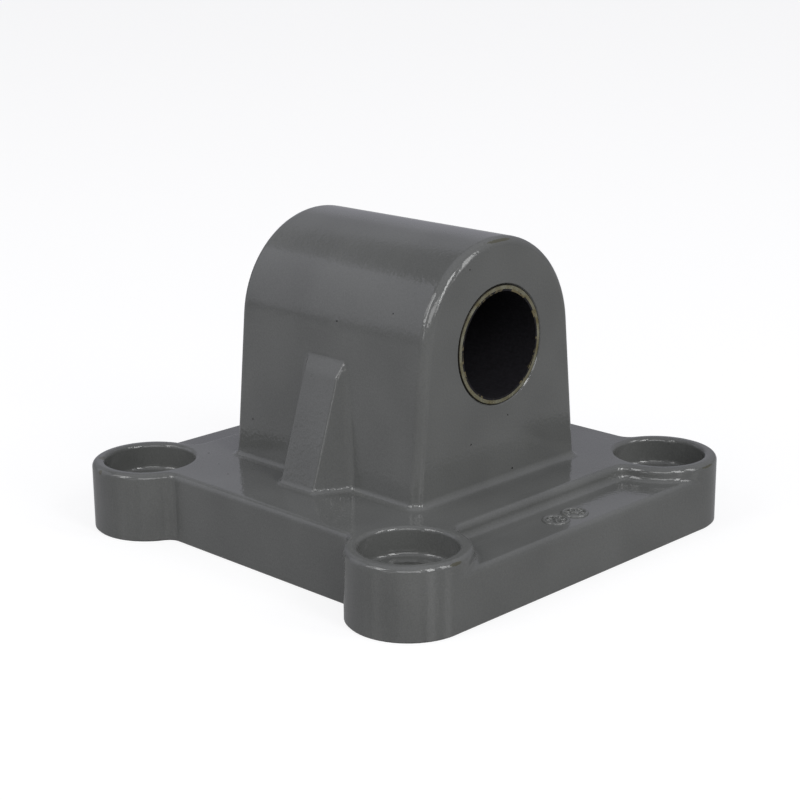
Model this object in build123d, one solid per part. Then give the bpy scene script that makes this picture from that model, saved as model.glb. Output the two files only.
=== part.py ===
"""Eye mounting for a 63 mm bore pneumatic cylinder.

A die-cast base with four counterbored corner bosses carries a rounded eye,
stiffened by a rib on each side. A lined plain bush is pressed into the eye.

Frame, in millimetres: the origin is the centre of the mounting face, +Z points
away from the cylinder, and the pin bore runs along Y.
"""
from build123d import *
from math import cos, radians, sin, tan
import os

# Screw holes, for M8 socket head screws
hole_pitch = 56.5            # between hole centres, along X and along Y
screw_diameter = 8.0
screw_clearance = 1.0        # hole over screw, on the diameter
head_diameter = 13.0
head_clearance = 1.0         # counterbore over screw head, on the diameter
seat_height = 6.5            # mounting face to the screw head's seat
seat_foot_round = 0.7        # between the seat and the counterbore's wall
rim_round = 0.65             # mouth of the counterbore

# Base
plate_height = 10.8          # mounting face to the raised top and the boss tops
ledge_drop = 2.2             # raised top down to the ledges on the Y sides
boss_wall = 2.0              # round a counterbore
wall_setback = 6.05          # X walls, inwards from the outermost line of the bosses
boss_relief = 0.02           # by which the bosses stand proud of the Y walls
wall_blend = 2.0             # upright blend between an X wall and a boss
step_blend = 2.0             # upright blend between a ledge's step and a boss
step_foot_round = 1.0        # foot of a ledge's step
top_edge_round = 0.95        # top outer edges
face_edge_break = 0.25       # edges of the mounting face
recess_diameter = 45.0       # recess over the cylinder's centring spigot
recess_depth = 4.5

# Eye
pin_height = 32.0            # mounting face to the bore axis
eye_width = 39.6             # along the bore
head_radius = 16.0           # rounded head, about the bore axis
side_draft = 5.4             # degrees from upright, below the head
eye_edge_round = 1.5         # between the end faces and the head and sides
eye_foot_round = 1.1         # round the foot of the eye and its ribs

# Ribs on the X sides of the eye
rib_width = 7.1              # of the outer face
rib_foot = 5.0               # outer face beyond the eye's side, at the raised top
rib_lean = 18.0              # degrees from upright, of the outer face
rib_flare = 32.0             # degrees by which a flank widens towards the eye
rib_crest_drop = 4.4         # bore axis down to the top of the outer face
rib_crest_pitch = 58.0       # degrees from level, of the slope above the outer face
rib_crest_run = 4.0          # level run of that slope, which ends inside the eye
rib_crest_round = 3.5        # top of the outer face, into the slope above it
rib_edge_round = 0.6         # sides of the outer face and of the slope
rib_root_round = 1.5         # between a rib and the eye

# Lined bush
pin_diameter = 16.0
liner_thickness = 0.3
shell_thickness = 0.7
shell_edge_round = 0.15
housing_chamfer = 0.2        # mouths of the bore that holds the bush

# Worked out from the values above
screw_hole_radius = (screw_diameter + screw_clearance) / 2
counterbore_radius = (head_diameter + head_clearance) / 2
boss_radius = counterbore_radius + boss_wall
half_pitch = hole_pitch / 2
half_span = half_pitch + boss_radius
wall_x = half_span - wall_setback
ledge_height = plate_height - ledge_drop
rib_crest = pin_height - rib_crest_drop
liner_radius = pin_diameter / 2 + liner_thickness
bush_radius = liner_radius + shell_thickness

round_share = 0.48           # most of a wall's height that one round may take
tiny = 0.001                 # how close a point must be to count as on a face
upright = (Align.CENTER, Align.CENTER, Align.MIN)


def side_reach(height):
    """Distance from the bore axis's plane to the eye's side, below the head."""
    draft = radians(side_draft)
    return head_radius / cos(draft) + (pin_height - height) * tan(draft)


def limited(radius, wall):
    """A round that leaves room for another one on the same wall."""
    return min(radius, round_share * wall)


def raised_outline():
    """Full-height area: the plate between the ledges, and the four bosses."""
    with BuildSketch() as outline:
        Rectangle(2 * wall_x, hole_pitch)
        with GridLocations(hole_pitch, hole_pitch, 2, 2):
            Circle(boss_radius)
        at_walls = outline.vertices().filter_by(lambda v: abs(v.X) > wall_x - tiny)
        fillet(at_walls, wall_blend)
        step_end = half_pitch - boss_radius
        at_steps = outline.vertices().filter_by(lambda v: abs(v.X) < step_end + tiny)
        fillet(at_steps, step_blend)
    return outline.sketch


def base():
    """Low slab with the raised outline standing on it, rounded but without holes."""
    slab = Box(hole_pitch, 2 * (half_span - boss_relief), ledge_height, align=upright)
    slab_top = slab.edges().filter_by_position(Axis.Z, ledge_height, ledge_height)
    rounding = limited(top_edge_round, ledge_drop)
    slab = fillet(slab_top.filter_by(Axis.X), rounding)
    raised = extrude(raised_outline(), plate_height)
    whole = slab + raised
    step_foot = new_edges(slab, raised, combined=whole)
    step_foot = step_foot.filter_by_position(Axis.Z, ledge_height - rounding, ledge_height)
    whole = fillet(step_foot, limited(step_foot_round, ledge_drop))
    top = whole.edges().filter_by_position(Axis.Z, plate_height, plate_height)
    whole = fillet(top, rounding)
    foot = whole.edges().filter_by_position(Axis.Z, 0, 0)
    return chamfer(foot, face_edge_break)


def eye_block():
    """Rounded eye on drafted sides, running down into the base."""
    draft = radians(side_draft)
    side_x = head_radius * cos(draft)
    side_z = pin_height + head_radius * sin(draft)
    foot_x = side_reach(ledge_height)
    with BuildSketch(Plane.XZ) as profile:
        with BuildLine():
            Polyline((-side_x, side_z), (-foot_x, ledge_height), (foot_x, ledge_height), (side_x, side_z))
            ThreePointArc((side_x, side_z), (0, pin_height + head_radius), (-side_x, side_z))
        make_face()
    block = extrude(profile.sketch, eye_width / 2, both=True)
    edges = block.faces().filter_by(Axis.Y).edges()
    return fillet(edges.filter_by(lambda e: e.center().Z > ledge_height + tiny), eye_edge_round)


def rib():
    """Wedge on the -X side of the eye, running on into the eye and the base."""
    slant = tan(radians(rib_lean))
    foot_x = side_reach(plate_height) + rib_foot + ledge_drop * slant
    crest_x = foot_x - (rib_crest - ledge_height) * slant
    peak_x = crest_x - rib_crest_run
    peak = rib_crest + rib_crest_run * tan(radians(rib_crest_pitch))
    with BuildSketch(Plane.XZ) as profile:
        outer_face = [(-foot_x, ledge_height), (-crest_x, rib_crest)]
        Polygon(*outer_face, (-peak_x, peak), (0, peak), (0, ledge_height), align=None)
    wedge = extrude(profile.sketch, eye_width / 2, both=True)
    up_the_edge = Vector(foot_x - crest_x, 0, rib_crest - ledge_height)
    for side in (-1, 1):
        towards_eye = Vector(1, side * tan(radians(rib_flare)), 0)
        corner = Vector(-foot_x, side * rib_width / 2, ledge_height)
        flank = Plane(corner, z_dir=side * towards_eye.cross(up_the_edge))
        wedge = split(wedge, bisect_by=flank, keep=Keep.TOP)
    crest = wedge.edges().filter_by_position(Axis.Z, rib_crest, rib_crest)
    wedge = fillet(crest, rib_crest_round)
    outer_edges = wedge.edges().filter_by(lambda e: e.center().X < -tiny)
    outer_edges = outer_edges.filter_by(lambda e: e.center().Z > ledge_height + tiny)
    return fillet(outer_edges, rib_edge_round)


def ribbed_eye():
    """Eye with a rib blended into each X side."""
    block = eye_block()
    left = rib()
    ribs = [left, mirror(left, Plane.YZ)]
    joined = block + ribs
    roots = new_edges(block, *ribs, combined=joined)
    roots = roots.filter_by(lambda e: e.center().Z > ledge_height + tiny)
    return fillet(roots, rib_root_round)


def screw_hole():
    """Tool for one counterbored hole, standing on the mounting face."""
    seat_to_top = plate_height - seat_height
    head = Cylinder(counterbore_radius, seat_to_top, align=upright)
    head = fillet(head.edges().sort_by(Axis.Z)[0], seat_foot_round)
    return Cylinder(screw_hole_radius, plate_height, align=upright) + Pos(0, 0, seat_height) * head


def along_bore(solid):
    """A solid drawn about Z, turned to lie centred on the bore axis."""
    return Pos(0, 0, pin_height) * Rot(90, 0, 0) * solid


def circles(part, radius):
    """Circular edges of one radius."""
    return part.edges().filter_by(GeomType.CIRCLE).filter_by(lambda e: abs(e.radius - radius) < tiny)


def bracket():
    """The casting: base, eye and ribs in one piece, with its holes."""
    plate = base()
    eye = ribbed_eye()
    casting = plate + eye
    eye_foot = new_edges(plate, eye, combined=casting)
    casting = fillet(eye_foot.filter_by_position(Axis.Z, plate_height, plate_height), eye_foot_round)
    for place in GridLocations(hole_pitch, hole_pitch, 2, 2):
        casting -= place * screw_hole()
    rims = circles(casting, counterbore_radius).filter_by_position(Axis.Z, plate_height, plate_height)
    casting = fillet(rims, rim_round)
    casting -= Cylinder(recess_diameter / 2, recess_depth, align=upright)
    recess_mouth = circles(casting, recess_diameter / 2).filter_by_position(Axis.Z, 0, 0)
    casting = chamfer(recess_mouth, face_edge_break)
    casting -= along_bore(Cylinder(bush_radius, 2 * eye_width))
    mouths = circles(casting, bush_radius)
    mouths = mouths.filter_by(lambda e: abs(abs(e.center().Y) - eye_width / 2) < tiny)
    return chamfer(mouths, housing_chamfer)


def bush_shell():
    """Metal shell of the bush, its outer edges rounded for pressing in."""
    ring = Cylinder(bush_radius, eye_width) - Cylinder(liner_radius, eye_width)
    return along_bore(fillet(circles(ring, bush_radius), shell_edge_round))


def bush_liner():
    """Thin low-friction lining, bonded inside the shell."""
    return along_bore(Cylinder(liner_radius, eye_width) - Cylinder(pin_diameter / 2, eye_width))


parts = {
    "bracket": bracket(),
    "bush_shell": bush_shell(),
    "bush_liner": bush_liner(),
}

os.makedirs("parts", exist_ok=True)
for name, solid in parts.items():
    export_step(solid, f"parts/{name}.step")
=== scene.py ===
"""Visual model of an eye mounting for a pneumatic cylinder.

An enamelled die-cast bracket with a lined plain bush, on a pale floor under soft
studio light. It is laid out as an add-on and run as a script, in metres.
"""
import math

import bpy
from mathutils import Matrix, Vector


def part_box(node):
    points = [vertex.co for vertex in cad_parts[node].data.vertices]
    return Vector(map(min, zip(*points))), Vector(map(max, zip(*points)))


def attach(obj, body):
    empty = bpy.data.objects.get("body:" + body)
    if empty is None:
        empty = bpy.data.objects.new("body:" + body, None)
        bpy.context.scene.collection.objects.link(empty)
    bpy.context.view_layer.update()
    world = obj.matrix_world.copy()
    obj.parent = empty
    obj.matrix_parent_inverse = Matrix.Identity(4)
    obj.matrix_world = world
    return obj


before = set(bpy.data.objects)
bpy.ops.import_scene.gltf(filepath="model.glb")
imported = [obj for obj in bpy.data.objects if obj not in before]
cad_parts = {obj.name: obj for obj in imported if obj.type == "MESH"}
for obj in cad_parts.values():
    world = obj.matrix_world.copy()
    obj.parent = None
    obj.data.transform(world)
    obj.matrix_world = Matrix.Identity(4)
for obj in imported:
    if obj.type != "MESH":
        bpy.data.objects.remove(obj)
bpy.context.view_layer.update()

bl_info = {
    "name": "Cylinder eye mounting",
    "version": (1, 0, 0),
    "blender": (4, 5, 0),
    "location": "3D View > Sidebar > Clevis",
    "description": "Finishes of an enamelled eye mounting and its lined bush, with a stage",
    "category": "Object",
}

MM = 0.001

# Places on the CAD's pieces
EYE_FACE_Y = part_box("bush_shell")[0].y
BORE_Z = sum(corner.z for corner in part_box("bush_shell")) / 2
BUSH_RADIUS = (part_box("bush_shell")[1].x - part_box("bush_shell")[0].x) / 2
LEDGE_Z = 8.6 * MM

# Nearly all values of a noise texture lie in this range
NOISE = {"From_Min": 0.3, "From_Max": 0.7}


def linear(hex_colour):
    """Linear colour of an sRGB hex value."""
    levels = [int(hex_colour[i:i + 2], 16) / 255 for i in (0, 2, 4)]
    return [c / 12.92 if c <= 0.04045 else ((c + 0.055) / 1.055) ** 2.4 for c in levels]


class PaintSizes(bpy.types.PropertyGroup):
    """Sizes and colours of the enamelled casting."""

    colour: bpy.props.FloatVectorProperty(
        name="Enamel", description="Colour of the stoved enamel", subtype="COLOR",
        size=3, min=0, max=1, default=linear("5B5C5A"))
    orange_peel: bpy.props.FloatProperty(
        name="Orange peel", description="Length of the enamel's waves",
        default=0.55 * MM, unit="LENGTH", min=0.2 * MM, max=10 * MM, precision=5)
    rubbed_colour: bpy.props.FloatVectorProperty(
        name="Rubbed edge", description="Colour of enamel rubbed thin on an edge",
        subtype="COLOR", size=3, min=0, max=1, default=linear("4C4B40"))


class BushSizes(bpy.types.PropertyGroup):
    """Sizes and colours of the bush."""

    shell_colour: bpy.props.FloatVectorProperty(
        name="Shell", description="Colour of the bush's metal shell", subtype="COLOR",
        size=3, min=0, max=1, default=linear("9E9D8A"))
    liner_colour: bpy.props.FloatVectorProperty(
        name="Lining", description="Colour of the low-friction lining", subtype="COLOR",
        size=3, min=0, max=1, default=linear("19181B"))
    # Real marks are about 0.05 mm apart, too fine to show, so they are drawn coarser
    turning_pitch: bpy.props.FloatProperty(
        name="Turning pitch", description="Spacing of the turning marks on the shell's ends",
        default=0.15 * MM, unit="LENGTH", min=0.02 * MM, max=1 * MM, precision=5)


class DialSizes(bpy.types.PropertyGroup):
    """Sizes of the casting's date dials, cast on the front ledge."""

    radius: bpy.props.FloatProperty(
        name="Radius", description="Radius of the middle of a dial's ring",
        default=1.75 * MM, unit="LENGTH", min=0.5 * MM, max=3 * MM, precision=5)
    bead: bpy.props.FloatProperty(
        name="Bead", description="Width of the cast ring, which the strokes are measured in",
        default=0.6 * MM, unit="LENGTH", min=0.1 * MM, max=1 * MM, precision=5)
    relief: bpy.props.FloatProperty(
        name="Relief", description="How far the dials stand out of the ledge",
        default=0.28 * MM, unit="LENGTH", min=0.05 * MM, max=0.5 * MM, precision=5)
    strokes: bpy.props.IntProperty(
        name="Strokes", description="Strokes round a dial", default=8, min=3, max=24)
    spacing: bpy.props.FloatProperty(
        name="Spacing", description="Distance between the two dials' centres",
        default=4.3 * MM, unit="LENGTH", min=1 * MM, max=12 * MM, precision=5)


class StageSizes(bpy.types.PropertyGroup):
    """Light, floor and camera."""

    floor_colour: bpy.props.FloatVectorProperty(
        name="Floor", description="Colour of the floor, as it lights the object",
        subtype="COLOR", size=3, min=0, max=1, default=linear("7E7E7E"))
    floor_lift: bpy.props.FloatProperty(
        name="Floor lift", description="White that the camera sees over the floor's colour",
        default=0.8, min=0, max=1)
    floor_gleam: bpy.props.FloatProperty(
        name="Floor gleam", description="Share of that white that reflections show",
        default=0.2, min=0, max=1)
    horizon_level: bpy.props.FloatProperty(
        name="Horizon", description="Brightness of the studio's walls", default=0.22, min=0, max=4)
    ceiling_level: bpy.props.FloatProperty(
        name="Ceiling", description="Brightness of the white ceiling", default=0.56, min=0, max=4)
    left_power: bpy.props.FloatProperty(
        name="Left light", description="Power of the main strip light on the left, which the "
        "others there follow", default=1.9, min=0, max=50, unit="POWER")
    right_power: bpy.props.FloatProperty(
        name="Right light", description="Power of the main strip light on the right, which the "
        "others there follow", default=2.25, min=0, max=50, unit="POWER")
    front_power: bpy.props.FloatProperty(
        name="Front light", description="Power of the wide light over the camera", default=1.8,
        min=0, max=50, unit="POWER")


def direction(azimuth, elevation):
    """Unit vector towards an azimuth and elevation in degrees; 0 is the front, -Y."""
    azimuth, elevation = math.radians(azimuth), math.radians(elevation)
    return Vector((math.sin(azimuth) * math.cos(elevation),
                   -math.cos(azimuth) * math.cos(elevation), math.sin(elevation)))


def add(tree, kind, settings=None, **links):
    """Adds a node with its settings, and gives its inputs a value or a socket.

    An input goes by its name, with underscores for spaces, or by i and its place, where
    other inputs share the name. The two colours of a Mix node are i6 and i7.
    """
    node = tree.nodes.new(kind)
    for name, value in (settings or {}).items():
        setattr(node, name, value)
    for name, value in links.items():
        key = int(name[1:]) if name[0] == "i" and name[1:].isdigit() else name.replace("_", " ")
        if isinstance(value, bpy.types.NodeSocket):
            tree.links.new(value, node.inputs[key])
        else:
            node.inputs[key].default_value = value
    return node


def new_material(name, viewport_colour):
    """Material with an empty node tree, and its hex colour in the solid viewport."""
    material = bpy.data.materials.new(name)
    material.use_nodes = True
    material.diffuse_color = (*linear(viewport_colour), 1)
    material.node_tree.nodes.clear()
    return material


# Enamel: the length of its waves as a share of the broad swell's, and how deep they are
PEEL_PER_SWELL = 0.055
PEEL_DEPTH = 0.03 * MM
# Real specks are under 0.1 mm, too fine to show, so they are drawn coarser
SPECK = 0.22 * MM
SPECK_DEPTH = 0.004 * MM
ENAMEL_SHADES = {"To_Min": 0.93, "To_Max": 1.07}
ENAMEL_ROUGHNESS = {"To_Min": 0.05, "To_Max": 0.08}
PINHOLE_COLOUR = "1D1D1B"
PINHOLES = [
    # Centre and radius in millimetres, on the eye's front face
    (14.2, -19.8, 10.9, 0.2), (2.9, -19.8, 12.3, 0.16), (-6.3, -19.8, 18.1, 0.15),
    (1.8, -19.8, 20.9, 0.14), (-6.6, -19.8, 44.3, 0.12),
    # On its left side and head
    (-17.5, 15.8, 17.2, 0.16), (-15.6, -1.6, 35.4, 0.15), (-14.8, -12.4, 38.1, 0.13),
    # On the raised top, between the eye and the left boss
    (-25.3, 12.9, 10.8, 0.17), (-23.1, 17.7, 10.8, 0.15), (-20.6, 23.1, 10.8, 0.2),
]
RUBBED = [
    # Centre and half sizes in millimetres, on the front edge of the head
    (0.1, -19.36, 47.46, 2.7, 0.26, 0.24),
    # On the rims of the near, right and left bosses
    (-28.2, -37.1, 10.3, 1.1, 0.35, 0.22), (28.8, -36.98, 10.15, 1.5, 0.4, 0.18),
    (-37.12, 29.33, 10.2, 0.4, 0.45, 0.35), (-33.5, 33.4, 10.75, 0.7, 0.7, 0.3),
]
# Where a spot ends: one half size from its centre, plus the grain's middle value of 0.5
SPOT_END = 1.5


def masked_spots(tree, place, spots, grain):
    """One mask, 1 inside any of the spots, ragged by grain: centre and half sizes in mm."""
    total = None
    for x, y, z, *half_sizes in spots:
        spot = add(tree, "ShaderNodeMapping", {"vector_type": "TEXTURE"}, Vector=place,
                   Location=(x * MM, y * MM, z * MM), Scale=[half * MM for half in half_sizes])
        away = add(tree, "ShaderNodeVectorMath", {"operation": "LENGTH"}, i0=spot.outputs[0])
        ragged = add(tree, "ShaderNodeMath", i0=grain, i1=away.outputs["Value"])
        inside = add(tree, "ShaderNodeMath", {"operation": "LESS_THAN"},
                     i0=ragged.outputs[0], i1=SPOT_END)
        if total is None:
            total = inside.outputs[0]
        else:
            total = add(tree, "ShaderNodeMath", {"operation": "MAXIMUM"},
                        i0=total, i1=inside.outputs[0]).outputs[0]
    return total


def stoved_enamel(sizes):
    """Glossy dark grey enamel, sprayed and stoved on die-cast aluminium.

    The coat has flowed out over the casting's skin, so the eye sees sharp highlights
    broken by fine waves, a faint speckle, dark pinholes where the skin was open, and
    high edges that handling has rubbed thin.
    """
    material = new_material("stoved_enamel_on_die_casting", "424243")
    tree = material.node_tree
    place = add(tree, "ShaderNodeTexCoord").outputs["Object"]
    waves = add(tree, "ShaderNodeTexNoise", Vector=place, Scale=1 / sizes.orange_peel,
                Detail=2.0, Roughness=0.45)
    swell = add(tree, "ShaderNodeTexNoise", Vector=place,
                Scale=PEEL_PER_SWELL / sizes.orange_peel, Detail=1.0)
    dust = add(tree, "ShaderNodeTexNoise", Vector=place, Scale=1 / SPECK, Detail=3.0)
    cloud = add(tree, "ShaderNodeMapRange", Value=swell.outputs["Fac"], **NOISE, **ENAMEL_SHADES)
    speckle = add(tree, "ShaderNodeMapRange", Value=dust.outputs["Fac"], **NOISE, **ENAMEL_SHADES)
    shade = add(tree, "ShaderNodeMath", {"operation": "MULTIPLY"},
                i0=cloud.outputs[0], i1=speckle.outputs[0])
    enamel = add(tree, "ShaderNodeVectorMath", {"operation": "SCALE"},
                 i0=tuple(sizes.colour), Scale=shade.outputs[0])
    pinhole = masked_spots(tree, place, [(x, y, z, r, r, r) for x, y, z, r in PINHOLES],
                           dust.outputs["Fac"])
    holed = add(tree, "ShaderNodeMix", {"data_type": "RGBA"}, Factor=pinhole,
                i6=enamel.outputs[0], i7=(*linear(PINHOLE_COLOUR), 1))
    rubbed = masked_spots(tree, place, RUBBED, dust.outputs["Fac"])
    worn = add(tree, "ShaderNodeMix", {"data_type": "RGBA"}, Factor=rubbed,
               i6=holed.outputs[2], i7=(*sizes.rubbed_colour, 1))
    gloss = add(tree, "ShaderNodeMapRange", Value=swell.outputs["Fac"], **NOISE,
                **ENAMEL_ROUGHNESS)
    peel = add(tree, "ShaderNodeBump", Height=waves.outputs["Fac"], Distance=PEEL_DEPTH,
               Strength=1.0)
    grit = add(tree, "ShaderNodeBump", Height=dust.outputs["Fac"], Distance=SPECK_DEPTH,
               Strength=1.0, Normal=peel.outputs[0])
    paint = add(tree, "ShaderNodeBsdfPrincipled", Base_Color=worn.outputs[2],
                Roughness=gloss.outputs[0], Normal=grit.outputs[0], IOR=1.5)
    add(tree, "ShaderNodeOutputMaterial", Surface=paint.outputs[0])
    return material


# Bush shell: its stains, flecks and nicks, and its colour darkened in a thin band at its outer
# edge
STAIN = 2.2 * MM
FLECK = 0.3 * MM
TURNING_DEPTH = 0.004 * MM
NICK_DEPTH = 0.05 * MM
DARK_EDGE_STARTS, DARK_EDGE_FULL = 0.24 * MM, 0.12 * MM
TARNISH_COLOUR = "7E7656"
DARK_EDGE_COLOUR = "2A2720"
SHELL_ROUGHNESS = {"To_Min": 0.2, "To_Max": 0.45}


def from_bore(tree, place):
    """Distance from the bore axis, from Object coordinates."""
    moved = add(tree, "ShaderNodeVectorMath", {"operation": "SUBTRACT"},
                i0=place, i1=(0, 0, BORE_Z))
    flat = add(tree, "ShaderNodeVectorMath", {"operation": "MULTIPLY"},
               i0=moved.outputs[0], i1=(1, 0, 1))
    return add(tree, "ShaderNodeVectorMath", {"operation": "LENGTH"},
               i0=flat.outputs[0]).outputs["Value"]


def bronze_strip(sizes):
    """Bronze-faced steel strip, rolled to a bush and turned at its ends.

    The eye sees a thin dull ring of pale olive metal, with fine turned lines, brown
    stains and nicks, and a dark line where it meets the casting.
    """
    material = new_material("turned_bronze_strip", "A09B89")
    tree = material.node_tree
    place = add(tree, "ShaderNodeTexCoord").outputs["Object"]
    radius = from_bore(tree, place)
    turns = add(tree, "ShaderNodeMath", {"operation": "MULTIPLY"},
                i0=radius, i1=2 * math.pi / sizes.turning_pitch)
    rings = add(tree, "ShaderNodeMath", {"operation": "SINE"}, i0=turns.outputs[0])
    stain = add(tree, "ShaderNodeTexNoise", Vector=place, Scale=1 / STAIN, Detail=4.0)
    fleck = add(tree, "ShaderNodeTexNoise", Vector=place, Scale=1 / FLECK, Detail=2.0)
    tint = add(tree, "ShaderNodeMapRange", Value=stain.outputs["Fac"],
               From_Min=0.35, From_Max=0.65)
    stained = add(tree, "ShaderNodeMix", {"data_type": "RGBA"}, Factor=tint.outputs[0],
                  i6=(*sizes.shell_colour, 1), i7=(*linear(TARNISH_COLOUR), 1))
    # Colour darkened to near black in a thin band just inside the outer edge, where the shell
    # meets the casting
    edge = add(tree, "ShaderNodeMapRange", Value=radius, From_Min=BUSH_RADIUS - DARK_EDGE_STARTS,
               From_Max=BUSH_RADIUS - DARK_EDGE_FULL)
    darkened_edge = add(tree, "ShaderNodeMix", {"data_type": "RGBA"}, Factor=edge.outputs[0],
                i6=stained.outputs[2], i7=(*linear(DARK_EDGE_COLOUR), 1))
    dull = add(tree, "ShaderNodeMapRange", Value=fleck.outputs["Fac"], **NOISE,
               **SHELL_ROUGHNESS)
    tooled = add(tree, "ShaderNodeBump", Height=rings.outputs[0], Distance=TURNING_DEPTH,
                 Strength=1.0)
    nicked = add(tree, "ShaderNodeBump", Height=fleck.outputs["Fac"], Distance=NICK_DEPTH,
                 Strength=1.0, Normal=tooled.outputs[0])
    metal = add(tree, "ShaderNodeBsdfPrincipled", Base_Color=darkened_edge.outputs[2], Metallic=0.9,
                Roughness=dull.outputs[0], Normal=nicked.outputs[0])
    add(tree, "ShaderNodeOutputMaterial", Surface=metal.outputs[0])
    return material


# Lining: its mottle, and lines along the bore. Real ones are about 0.1 mm wide, too fine
# to show, so they are drawn coarser
MOTTLE = 0.5 * MM
LINE = 0.4 * MM
LINE_STRETCH = (1, 0.08, 1)
LINE_DEPTH = 0.01 * MM
LINING_SHADES = {"To_Min": 0.7, "To_Max": 1.4}
LINING_ROUGHNESS = {"To_Min": 0.6, "To_Max": 0.85}
# Scuffs at its mouth: their size, how far in they reach and how they thin out on the way,
# and the level of the noise from which bronze shows until it shows in full
SCUFF = 1.6 * MM
SCUFF_REACH = 1.1 * MM
SCUFF_FADE = {"To_Min": 0.08, "To_Max": -0.3}
BARED = {"From_Min": 0.6, "From_Max": 0.68}
BARED_COLOUR = "8F8566"
BARED_ROUGHNESS = 0.3


def filled_lining(sizes):
    """Low-friction plastic lining, filled with graphite and rolled on to the bronze.

    The eye sees it near black, satin and finely mottled, with faint lines along the
    bore. At the mouth the pin has scuffed it, and the bronze under it shows.
    """
    material = new_material("graphite_filled_lining", "19191B")
    tree = material.node_tree
    place = add(tree, "ShaderNodeTexCoord").outputs["Object"]
    mottle = add(tree, "ShaderNodeTexNoise", Vector=place, Scale=1 / MOTTLE, Detail=4.0)
    drawn = add(tree, "ShaderNodeMapping", Vector=place, Scale=LINE_STRETCH)
    streak = add(tree, "ShaderNodeTexNoise", Vector=drawn.outputs[0], Scale=1 / LINE, Detail=2.0)
    shade = add(tree, "ShaderNodeMapRange", Value=mottle.outputs["Fac"], **NOISE,
                **LINING_SHADES)
    black = add(tree, "ShaderNodeVectorMath", {"operation": "SCALE"},
                i0=tuple(sizes.liner_colour), Scale=shade.outputs[0])
    depth = add(tree, "ShaderNodeSeparateXYZ", Vector=place).outputs["Y"]
    near_mouth = add(tree, "ShaderNodeMapRange", Value=depth, From_Min=EYE_FACE_Y,
                     From_Max=EYE_FACE_Y + SCUFF_REACH, **SCUFF_FADE)
    scuffs = add(tree, "ShaderNodeTexNoise", Vector=place, Scale=1 / SCUFF, Detail=6.0,
                 Roughness=0.7)
    bared = add(tree, "ShaderNodeMath", i0=near_mouth.outputs[0], i1=scuffs.outputs["Fac"])
    bronze = add(tree, "ShaderNodeMapRange", Value=bared.outputs[0], **BARED)
    shown = add(tree, "ShaderNodeMix", {"data_type": "RGBA"}, Factor=bronze.outputs[0],
                i6=black.outputs[0], i7=(*linear(BARED_COLOUR), 1))
    satin = add(tree, "ShaderNodeMapRange", Value=streak.outputs["Fac"], **NOISE,
                **LINING_ROUGHNESS)
    smooth = add(tree, "ShaderNodeMix", Factor=bronze.outputs[0], A=satin.outputs[0],
                 B=BARED_ROUGHNESS)
    grooved = add(tree, "ShaderNodeBump", Height=streak.outputs["Fac"], Distance=LINE_DEPTH,
                  Strength=1.0)
    lining = add(tree, "ShaderNodeBsdfPrincipled", Base_Color=shown.outputs[2], IOR=1.35,
                 Specular_IOR_Level=0.3, Roughness=smooth.outputs[0],
                 Metallic=bronze.outputs[0], Normal=grooved.outputs[0])
    add(tree, "ShaderNodeOutputMaterial", Surface=lining.outputs[0])
    return material


# Paper: its real tooth of about 0.2 mm is too fine to show, so it is drawn coarser
TOOTH = 0.8 * MM
TOOTH_DEPTH = 0.01 * MM
# Its roughness to other rays, and to the camera's own
PAPER_ROUGHNESS = {"To_Min": 0.26, "To_Max": 0.9}


def matt_paper(sizes):
    """Matt white paper, uncoated: an even ground that takes a soft shadow.

    The camera sees it lifted almost to white. Reflections show a share of that, and
    the object is lit by the paper's own darker colour.
    """
    paper = new_material("matt_white_paper", "F3F3F3")
    tree = paper.node_tree
    place = add(tree, "ShaderNodeTexCoord").outputs["Object"]
    tooth = add(tree, "ShaderNodeTexNoise", Vector=place, Scale=1 / TOOTH, Detail=2.0)
    fibre = add(tree, "ShaderNodeBump", Height=tooth.outputs["Fac"], Distance=TOOTH_DEPTH)
    seen = add(tree, "ShaderNodeLightPath")
    shown = add(tree, "ShaderNodeMath", {"operation": "MULTIPLY_ADD"},
                i0=seen.outputs["Is Glossy Ray"], i1=sizes.floor_gleam,
                i2=seen.outputs["Is Camera Ray"])
    lift = add(tree, "ShaderNodeMath", {"operation": "MULTIPLY"},
               i0=shown.outputs[0], i1=sizes.floor_lift)
    sheen = add(tree, "ShaderNodeMapRange", Value=seen.outputs["Is Camera Ray"],
                **PAPER_ROUGHNESS)
    card = add(tree, "ShaderNodeBsdfPrincipled", Base_Color=(*sizes.floor_colour, 1),
               Roughness=sheen.outputs[0], Normal=fibre.outputs[0],
               Emission_Color=(1, 1, 1, 1), Emission_Strength=lift.outputs[0])
    add(tree, "ShaderNodeOutputMaterial", Surface=card.outputs[0])
    return paper


def grown(context, name, tree, inputs):
    """Plain mesh object from a Geometry Nodes tree and the values of its inputs."""
    piece = bpy.data.objects.new(name, bpy.data.meshes.new(name))
    context.scene.collection.objects.link(piece)
    modifier = piece.modifiers.new(name, "NODES")
    modifier.node_group = tree
    for item in tree.interface.items_tree:
        if item.name in inputs:
            modifier[item.identifier] = inputs[item.name]
    depsgraph = context.evaluated_depsgraph_get()
    mesh = bpy.data.meshes.new_from_object(piece.evaluated_get(depsgraph), depsgraph=depsgraph)
    piece.modifiers.clear()
    piece.data = mesh
    return piece


# Dials: the middle of the pair on the ledge, the length, width and height of a stroke and
# of the pointer in beads, and the radius of the strokes' circle as a share of the ring's
DIALS_AT = (-0.36 * MM, -32.9 * MM)
STROKE = (1.5, 0.6, 0.9)
POINTER = (2.4, 0.9, 1.0)
STROKE_CIRCLE = 0.66
# How far round the first dial is set, and the second one from there, in radians
FIRST_SET, NEXT_SET = 0.9, -1.9


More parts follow.
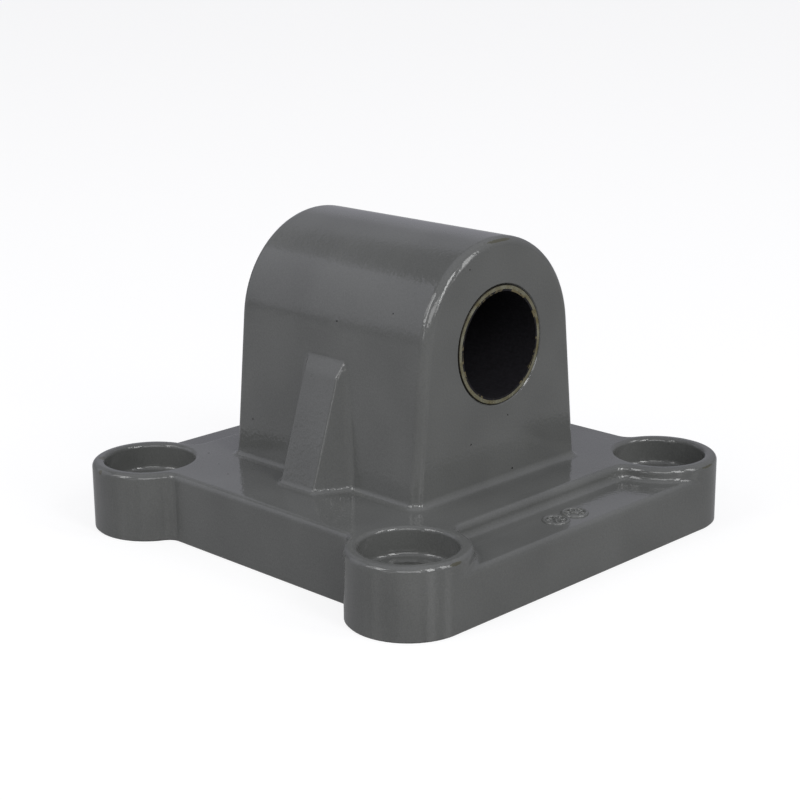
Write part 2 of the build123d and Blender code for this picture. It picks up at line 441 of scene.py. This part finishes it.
def dial_tree():
    """Two cast date dials side by side: a raised ring, strokes inside it and a pointer."""
    tree = bpy.data.node_groups.new("date_dials", "GeometryNodeTree")
    sockets = {"Radius": "Float", "Bead": "Float", "Spacing": "Float", "Strokes": "Int",
               "Place": "Vector", "Material": "Material"}
    for name, kind in sockets.items():
        tree.interface.new_socket(name, in_out="INPUT", socket_type=f"NodeSocket{kind}")
    tree.interface.new_socket("Geometry", in_out="OUTPUT", socket_type="NodeSocketGeometry")
    given = add(tree, "NodeGroupInput").outputs
    half_bead = add(tree, "ShaderNodeMath", {"operation": "MULTIPLY"},
                    i0=given["Bead"], i1=0.5).outputs[0]
    path = add(tree, "GeometryNodeCurvePrimitiveCircle", Resolution=48, Radius=given["Radius"])
    bead = add(tree, "GeometryNodeCurvePrimitiveCircle", Resolution=12, Radius=half_bead)
    ring = add(tree, "GeometryNodeCurveToMesh", Curve=path.outputs[0],
               Profile_Curve=bead.outputs[0])
    drop = add(tree, "GeometryNodeMeshUVSphere", Segments=12, Rings=8, Radius=half_bead)
    stroke = add(tree, "GeometryNodeTransform", Geometry=drop.outputs["Mesh"], Scale=STROKE)
    pointer = add(tree, "GeometryNodeTransform", Geometry=drop.outputs["Mesh"], Scale=POINTER)
    inner = add(tree, "ShaderNodeMath", {"operation": "MULTIPLY"},
                i0=given["Radius"], i1=STROKE_CIRCLE)
    round_it = add(tree, "GeometryNodeMeshCircle", Vertices=given["Strokes"],
                   Radius=inner.outputs[0])
    index = add(tree, "GeometryNodeInputIndex").outputs[0]
    turn = add(tree, "ShaderNodeMath", {"operation": "DIVIDE"},
               i0=2 * math.pi, i1=given["Strokes"])
    angle = add(tree, "ShaderNodeMath", {"operation": "MULTIPLY"},
                i0=index, i1=turn.outputs[0])
    radial = add(tree, "ShaderNodeCombineXYZ", Z=angle.outputs[0])
    outwards = add(tree, "FunctionNodeEulerToRotation", Euler=radial.outputs[0])
    spokes = add(tree, "GeometryNodeInstanceOnPoints", Points=round_it.outputs[0],
                 Instance=stroke.outputs[0], Rotation=outwards.outputs[0])
    dial = add(tree, "GeometryNodeJoinGeometry")
    for shape in (spokes, pointer, ring):
        tree.links.new(shape.outputs[0], dial.inputs[0])
    half_spacing = add(tree, "ShaderNodeMath", {"operation": "MULTIPLY"},
                       i0=given["Spacing"], i1=-0.5)
    first = add(tree, "ShaderNodeCombineXYZ", X=half_spacing.outputs[0])
    step = add(tree, "ShaderNodeCombineXYZ", X=given["Spacing"])
    pair = add(tree, "GeometryNodeMeshLine", Count=2, Start_Location=first.outputs[0],
               Offset=step.outputs[0])
    tilt = add(tree, "ShaderNodeMath", {"operation": "MULTIPLY_ADD"},
               i0=index, i1=NEXT_SET, i2=FIRST_SET)
    about_z = add(tree, "ShaderNodeCombineXYZ", Z=tilt.outputs[0])
    set_to = add(tree, "FunctionNodeEulerToRotation", Euler=about_z.outputs[0])
    both = add(tree, "GeometryNodeInstanceOnPoints", Points=pair.outputs[0],
               Instance=dial.outputs[0], Rotation=set_to.outputs[0])
    solid = add(tree, "GeometryNodeRealizeInstances", Geometry=both.outputs[0])
    placed = add(tree, "GeometryNodeTransform", Geometry=solid.outputs[0],
                 Translation=given["Place"])
    smooth = add(tree, "GeometryNodeSetShadeSmooth", Geometry=placed.outputs[0])
    painted = add(tree, "GeometryNodeSetMaterial", Geometry=smooth.outputs[0],
                  Material=given["Material"])
    add(tree, "NodeGroupOutput", Geometry=painted.outputs[0])
    return tree


def dress(node_name, material):
    """Gives a CAD node its finish."""
    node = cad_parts[node_name]
    node.data.materials.clear()
    node.data.materials.append(material)


class CLEVIS_OT_casting(bpy.types.Operator):
    """Enamel the cast bracket"""

    bl_idname = "clevis.casting"
    bl_label = "Enamelled casting"

    def execute(self, context):
        dress("bracket", stoved_enamel(context.scene.clevis_paint))
        return {"FINISHED"}


class CLEVIS_OT_dials(bpy.types.Operator):
    """Cast two plain date dials on the front ledge"""

    bl_idname = "clevis.dials"
    bl_label = "Date dials"

    def execute(self, context):
        sizes = context.scene.clevis_dials
        sunk = LEDGE_Z + sizes.relief - sizes.bead / 2
        dials = grown(context, "date_dials", dial_tree(), {
            "Radius": sizes.radius, "Bead": sizes.bead, "Spacing": sizes.spacing,
            "Strokes": sizes.strokes, "Place": (*DIALS_AT, sunk),
            "Material": bpy.data.materials["stoved_enamel_on_die_casting"]})
        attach(dials, "root")
        return {"FINISHED"}


class CLEVIS_OT_bush(bpy.types.Operator):
    """Finish the bush's metal shell and its lining"""

    bl_idname = "clevis.bush"
    bl_label = "Lined bush"

    def execute(self, context):
        sizes = context.scene.clevis_bush
        dress("bush_shell", bronze_strip(sizes))
        dress("bush_liner", filled_lining(sizes))
        return {"FINISHED"}


FLOOR_REACH = 3.0
LAMPS = [
    # Name, azimuth and elevation in degrees, width and height in metres, and its share of
    # one of the stage's powers
    ("left_strip", -101, 36, (0.26, 0.5), 1.0, "left_power"),
    ("far_left_strip", -122, 36, (0.14, 0.4), 0.25, "left_power"),
    ("left_low_strip", -80, 13, (0.25, 0.1), 0.09, "left_power"),
    ("right_strip", -7.5, 35, (0.22, 0.44), 1.0, "right_power"),
    ("right_low_strip", -7.5, 16.5, (0.22, 0.14), 0.13, "right_power"),
    ("far_right_strip", 23.5, 35, (0.2, 0.44), 0.63, "right_power"),
    ("far_right_low_strip", 23.5, 16.5, (0.2, 0.14), 0.09, "right_power"),
    ("front_softbox", -45, 28, (0.6, 0.3), 1.0, "front_power"),
]
LAMP_AIM = Vector((0, 0, 0.02))
LAMP_DISTANCE = 0.9

STUDIO_COLOUR = "F3F3FF"
PANELS = [
    # Pale boards round the object: azimuth, elevation, radius and softness in degrees, and level
    (-150, 22, 22, 2, 0.44),
    (138, 6, 18, 6, 0.14),
]
# A dim gap across the ceiling behind the object. On a sphere of radius 1 it is dimmest
# until GAP_FULL above and below its middle, and ends at GAP_EDGE
GAP_ELEVATION = 47
GAP_FULL, GAP_EDGE = 0.035, 0.05
GAP_LEVEL = 0.2
GAP_BEHIND = {"From_Min": 0.3, "From_Max": 0.5}

# The photograph's camera, fitted to the object's corners: degrees, metres and pixels
CAMERA_AZIMUTH, CAMERA_ELEVATION, CAMERA_ROLL = -45.451, 16.232, -0.524
CAMERA_TARGET = Vector((-0.00053, 0.00040, 0.01970))
CAMERA_DISTANCE = 0.28837
FOCAL_PIXELS, FRAME_PIXELS = 1853.5, 800
SENSOR_MM = 36


class CLEVIS_OT_stage(bpy.types.Operator):
    """Set up the floor, the soft light and the camera"""

    bl_idname = "clevis.stage"
    bl_label = "Stage"

    def execute(self, context):
        sizes = context.scene.clevis_stage
        mesh = bpy.data.meshes.new("floor")
        corners = [(x * FLOOR_REACH, y * FLOOR_REACH, 0)
                   for x, y in ((-1, -1), (1, -1), (1, 1), (-1, 1))]
        mesh.from_pydata(corners, [], [(0, 1, 2, 3)])
        mesh.materials.append(matt_paper(sizes))
        floor = bpy.data.objects.new("floor", mesh)
        context.scene.collection.objects.link(floor)
        for name, azimuth, elevation, size, share, power in LAMPS:
            self.light(context, name, azimuth, elevation, size, share * getattr(sizes, power))
        self.sky(context, sizes.horizon_level, sizes.ceiling_level)
        self.camera(context)
        return {"FINISHED"}

    def light(self, context, name, azimuth, elevation, size, power):
        """One soft light of a width and height, aimed at the object from a direction."""
        lamp = bpy.data.lights.new(name, "AREA")
        lamp.shape = "RECTANGLE"
        lamp.size, lamp.size_y = size
        lamp.energy = power
        holder = bpy.data.objects.new(name, lamp)
        towards = direction(azimuth, elevation)
        holder.location = LAMP_AIM + LAMP_DISTANCE * towards
        holder.rotation_euler = towards.to_track_quat("Z", "Y").to_euler()
        context.scene.collection.objects.link(holder)

    def sky(self, context, horizon, ceiling):
        """Even light, stronger from above, with boards and a gap. The camera sees it plain."""
        world = bpy.data.worlds.new("studio")
        world.use_nodes = True
        tree = world.node_tree
        tree.nodes.clear()
        towards = add(tree, "ShaderNodeTexCoord").outputs["Generated"]
        parts = add(tree, "ShaderNodeSeparateXYZ", Vector=towards).outputs
        room = add(tree, "ShaderNodeMapRange", Value=parts["Z"], To_Min=horizon,
                   To_Max=ceiling).outputs[0]
        for azimuth, elevation, radius, softness, level in PANELS:
            towards_panel = add(tree, "ShaderNodeVectorMath", {"operation": "DOT_PRODUCT"},
                                i0=towards, i1=direction(azimuth, elevation))
            panel = add(tree, "ShaderNodeMapRange", {"interpolation_type": "SMOOTHSTEP"},
                        Value=towards_panel.outputs["Value"],
                        From_Min=math.cos(math.radians(radius + softness)),
                        From_Max=math.cos(math.radians(radius - softness)),
                        To_Min=0.0, To_Max=level)
            room = add(tree, "ShaderNodeMath", i0=room, i1=panel.outputs[0]).outputs[0]
        off_gap = add(tree, "ShaderNodeMath", {"operation": "SUBTRACT"},
                      i0=parts["Z"], i1=math.sin(math.radians(GAP_ELEVATION)))
        from_gap = add(tree, "ShaderNodeMath", {"operation": "ABSOLUTE"}, i0=off_gap.outputs[0])
        gap = add(tree, "ShaderNodeMapRange", Value=from_gap.outputs[0], From_Min=GAP_FULL,
                  From_Max=GAP_EDGE, To_Min=GAP_LEVEL, To_Max=1.0)
        behind = add(tree, "ShaderNodeMapRange", Value=parts["Y"], **GAP_BEHIND)
        shaded = add(tree, "ShaderNodeMix", Factor=behind.outputs[0], A=1.0, B=gap.outputs[0])
        room = add(tree, "ShaderNodeMath", {"operation": "MULTIPLY"},
                   i0=room, i1=shaded.outputs[0]).outputs[0]
        path = add(tree, "ShaderNodeLightPath")
        strength = add(tree, "ShaderNodeMapRange", Value=path.outputs["Is Camera Ray"],
                       To_Min=room, To_Max=1.0)
        back = add(tree, "ShaderNodeBackground", Color=(*linear(STUDIO_COLOUR), 1),
                   Strength=strength.outputs[0])
        add(tree, "ShaderNodeOutputWorld", Surface=back.outputs[0])
        context.scene.world = world

    def camera(self, context):
        """Camera at the photograph's angle, found from the object's own corners."""
        back = direction(CAMERA_AZIMUTH, CAMERA_ELEVATION)
        roll = math.radians(CAMERA_ROLL)
        level_right = (-back).cross(Vector((0, 0, 1))).normalized()
        level_up = level_right.cross(-back)
        right = level_right * math.cos(roll) + level_up * math.sin(roll)
        up = level_up * math.cos(roll) - level_right * math.sin(roll)
        lens = bpy.data.cameras.new("camera")
        lens.sensor_width = SENSOR_MM
        lens.lens = FOCAL_PIXELS * SENSOR_MM / FRAME_PIXELS
        lens.clip_start = 0.01
        holder = bpy.data.objects.new("camera", lens)
        pose = Matrix((right, up, back)).transposed().to_4x4()
        pose.translation = CAMERA_TARGET + back * CAMERA_DISTANCE
        holder.matrix_world = pose
        context.scene.collection.objects.link(holder)
        context.scene.camera = holder
        context.scene.view_settings.view_transform = "Standard"


class CLEVIS_PT_panel(bpy.types.Panel):
    """Sizes, colours and pieces of the eye mounting."""

    bl_idname = "CLEVIS_PT_panel"
    bl_label = "Cylinder eye mounting"
    bl_space_type = "VIEW_3D"
    bl_region_type = "UI"
    bl_category = "Clevis"

    def draw(self, context):
        rows = ((CLEVIS_OT_casting, "clevis_paint"), (CLEVIS_OT_dials, "clevis_dials"),
                (CLEVIS_OT_bush, "clevis_bush"), (CLEVIS_OT_stage, "clevis_stage"))
        for operator, group_name in rows:
            box = self.layout.box()
            group = getattr(context.scene, group_name)
            for name in group.__annotations__:
                box.prop(group, name)
            box.operator(operator.bl_idname)


GROUPS = {"clevis_paint": PaintSizes, "clevis_dials": DialSizes, "clevis_bush": BushSizes,
          "clevis_stage": StageSizes}
OPERATORS = (CLEVIS_OT_casting, CLEVIS_OT_dials, CLEVIS_OT_bush, CLEVIS_OT_stage)


def register():
    for name, group in GROUPS.items():
        bpy.utils.register_class(group)
        setattr(bpy.types.Scene, name, bpy.props.PointerProperty(type=group))
    for kind in (*OPERATORS, CLEVIS_PT_panel):
        bpy.utils.register_class(kind)


def unregister():
    for kind in (CLEVIS_PT_panel, *reversed(OPERATORS)):
        bpy.utils.unregister_class(kind)
    for name, group in GROUPS.items():
        delattr(bpy.types.Scene, name)
        bpy.utils.unregister_class(group)


def main():
    register()
    bpy.ops.clevis.casting()
    bpy.ops.clevis.dials()
    bpy.ops.clevis.bush()
    bpy.ops.clevis.stage()


if __name__ == "__main__":
    main()
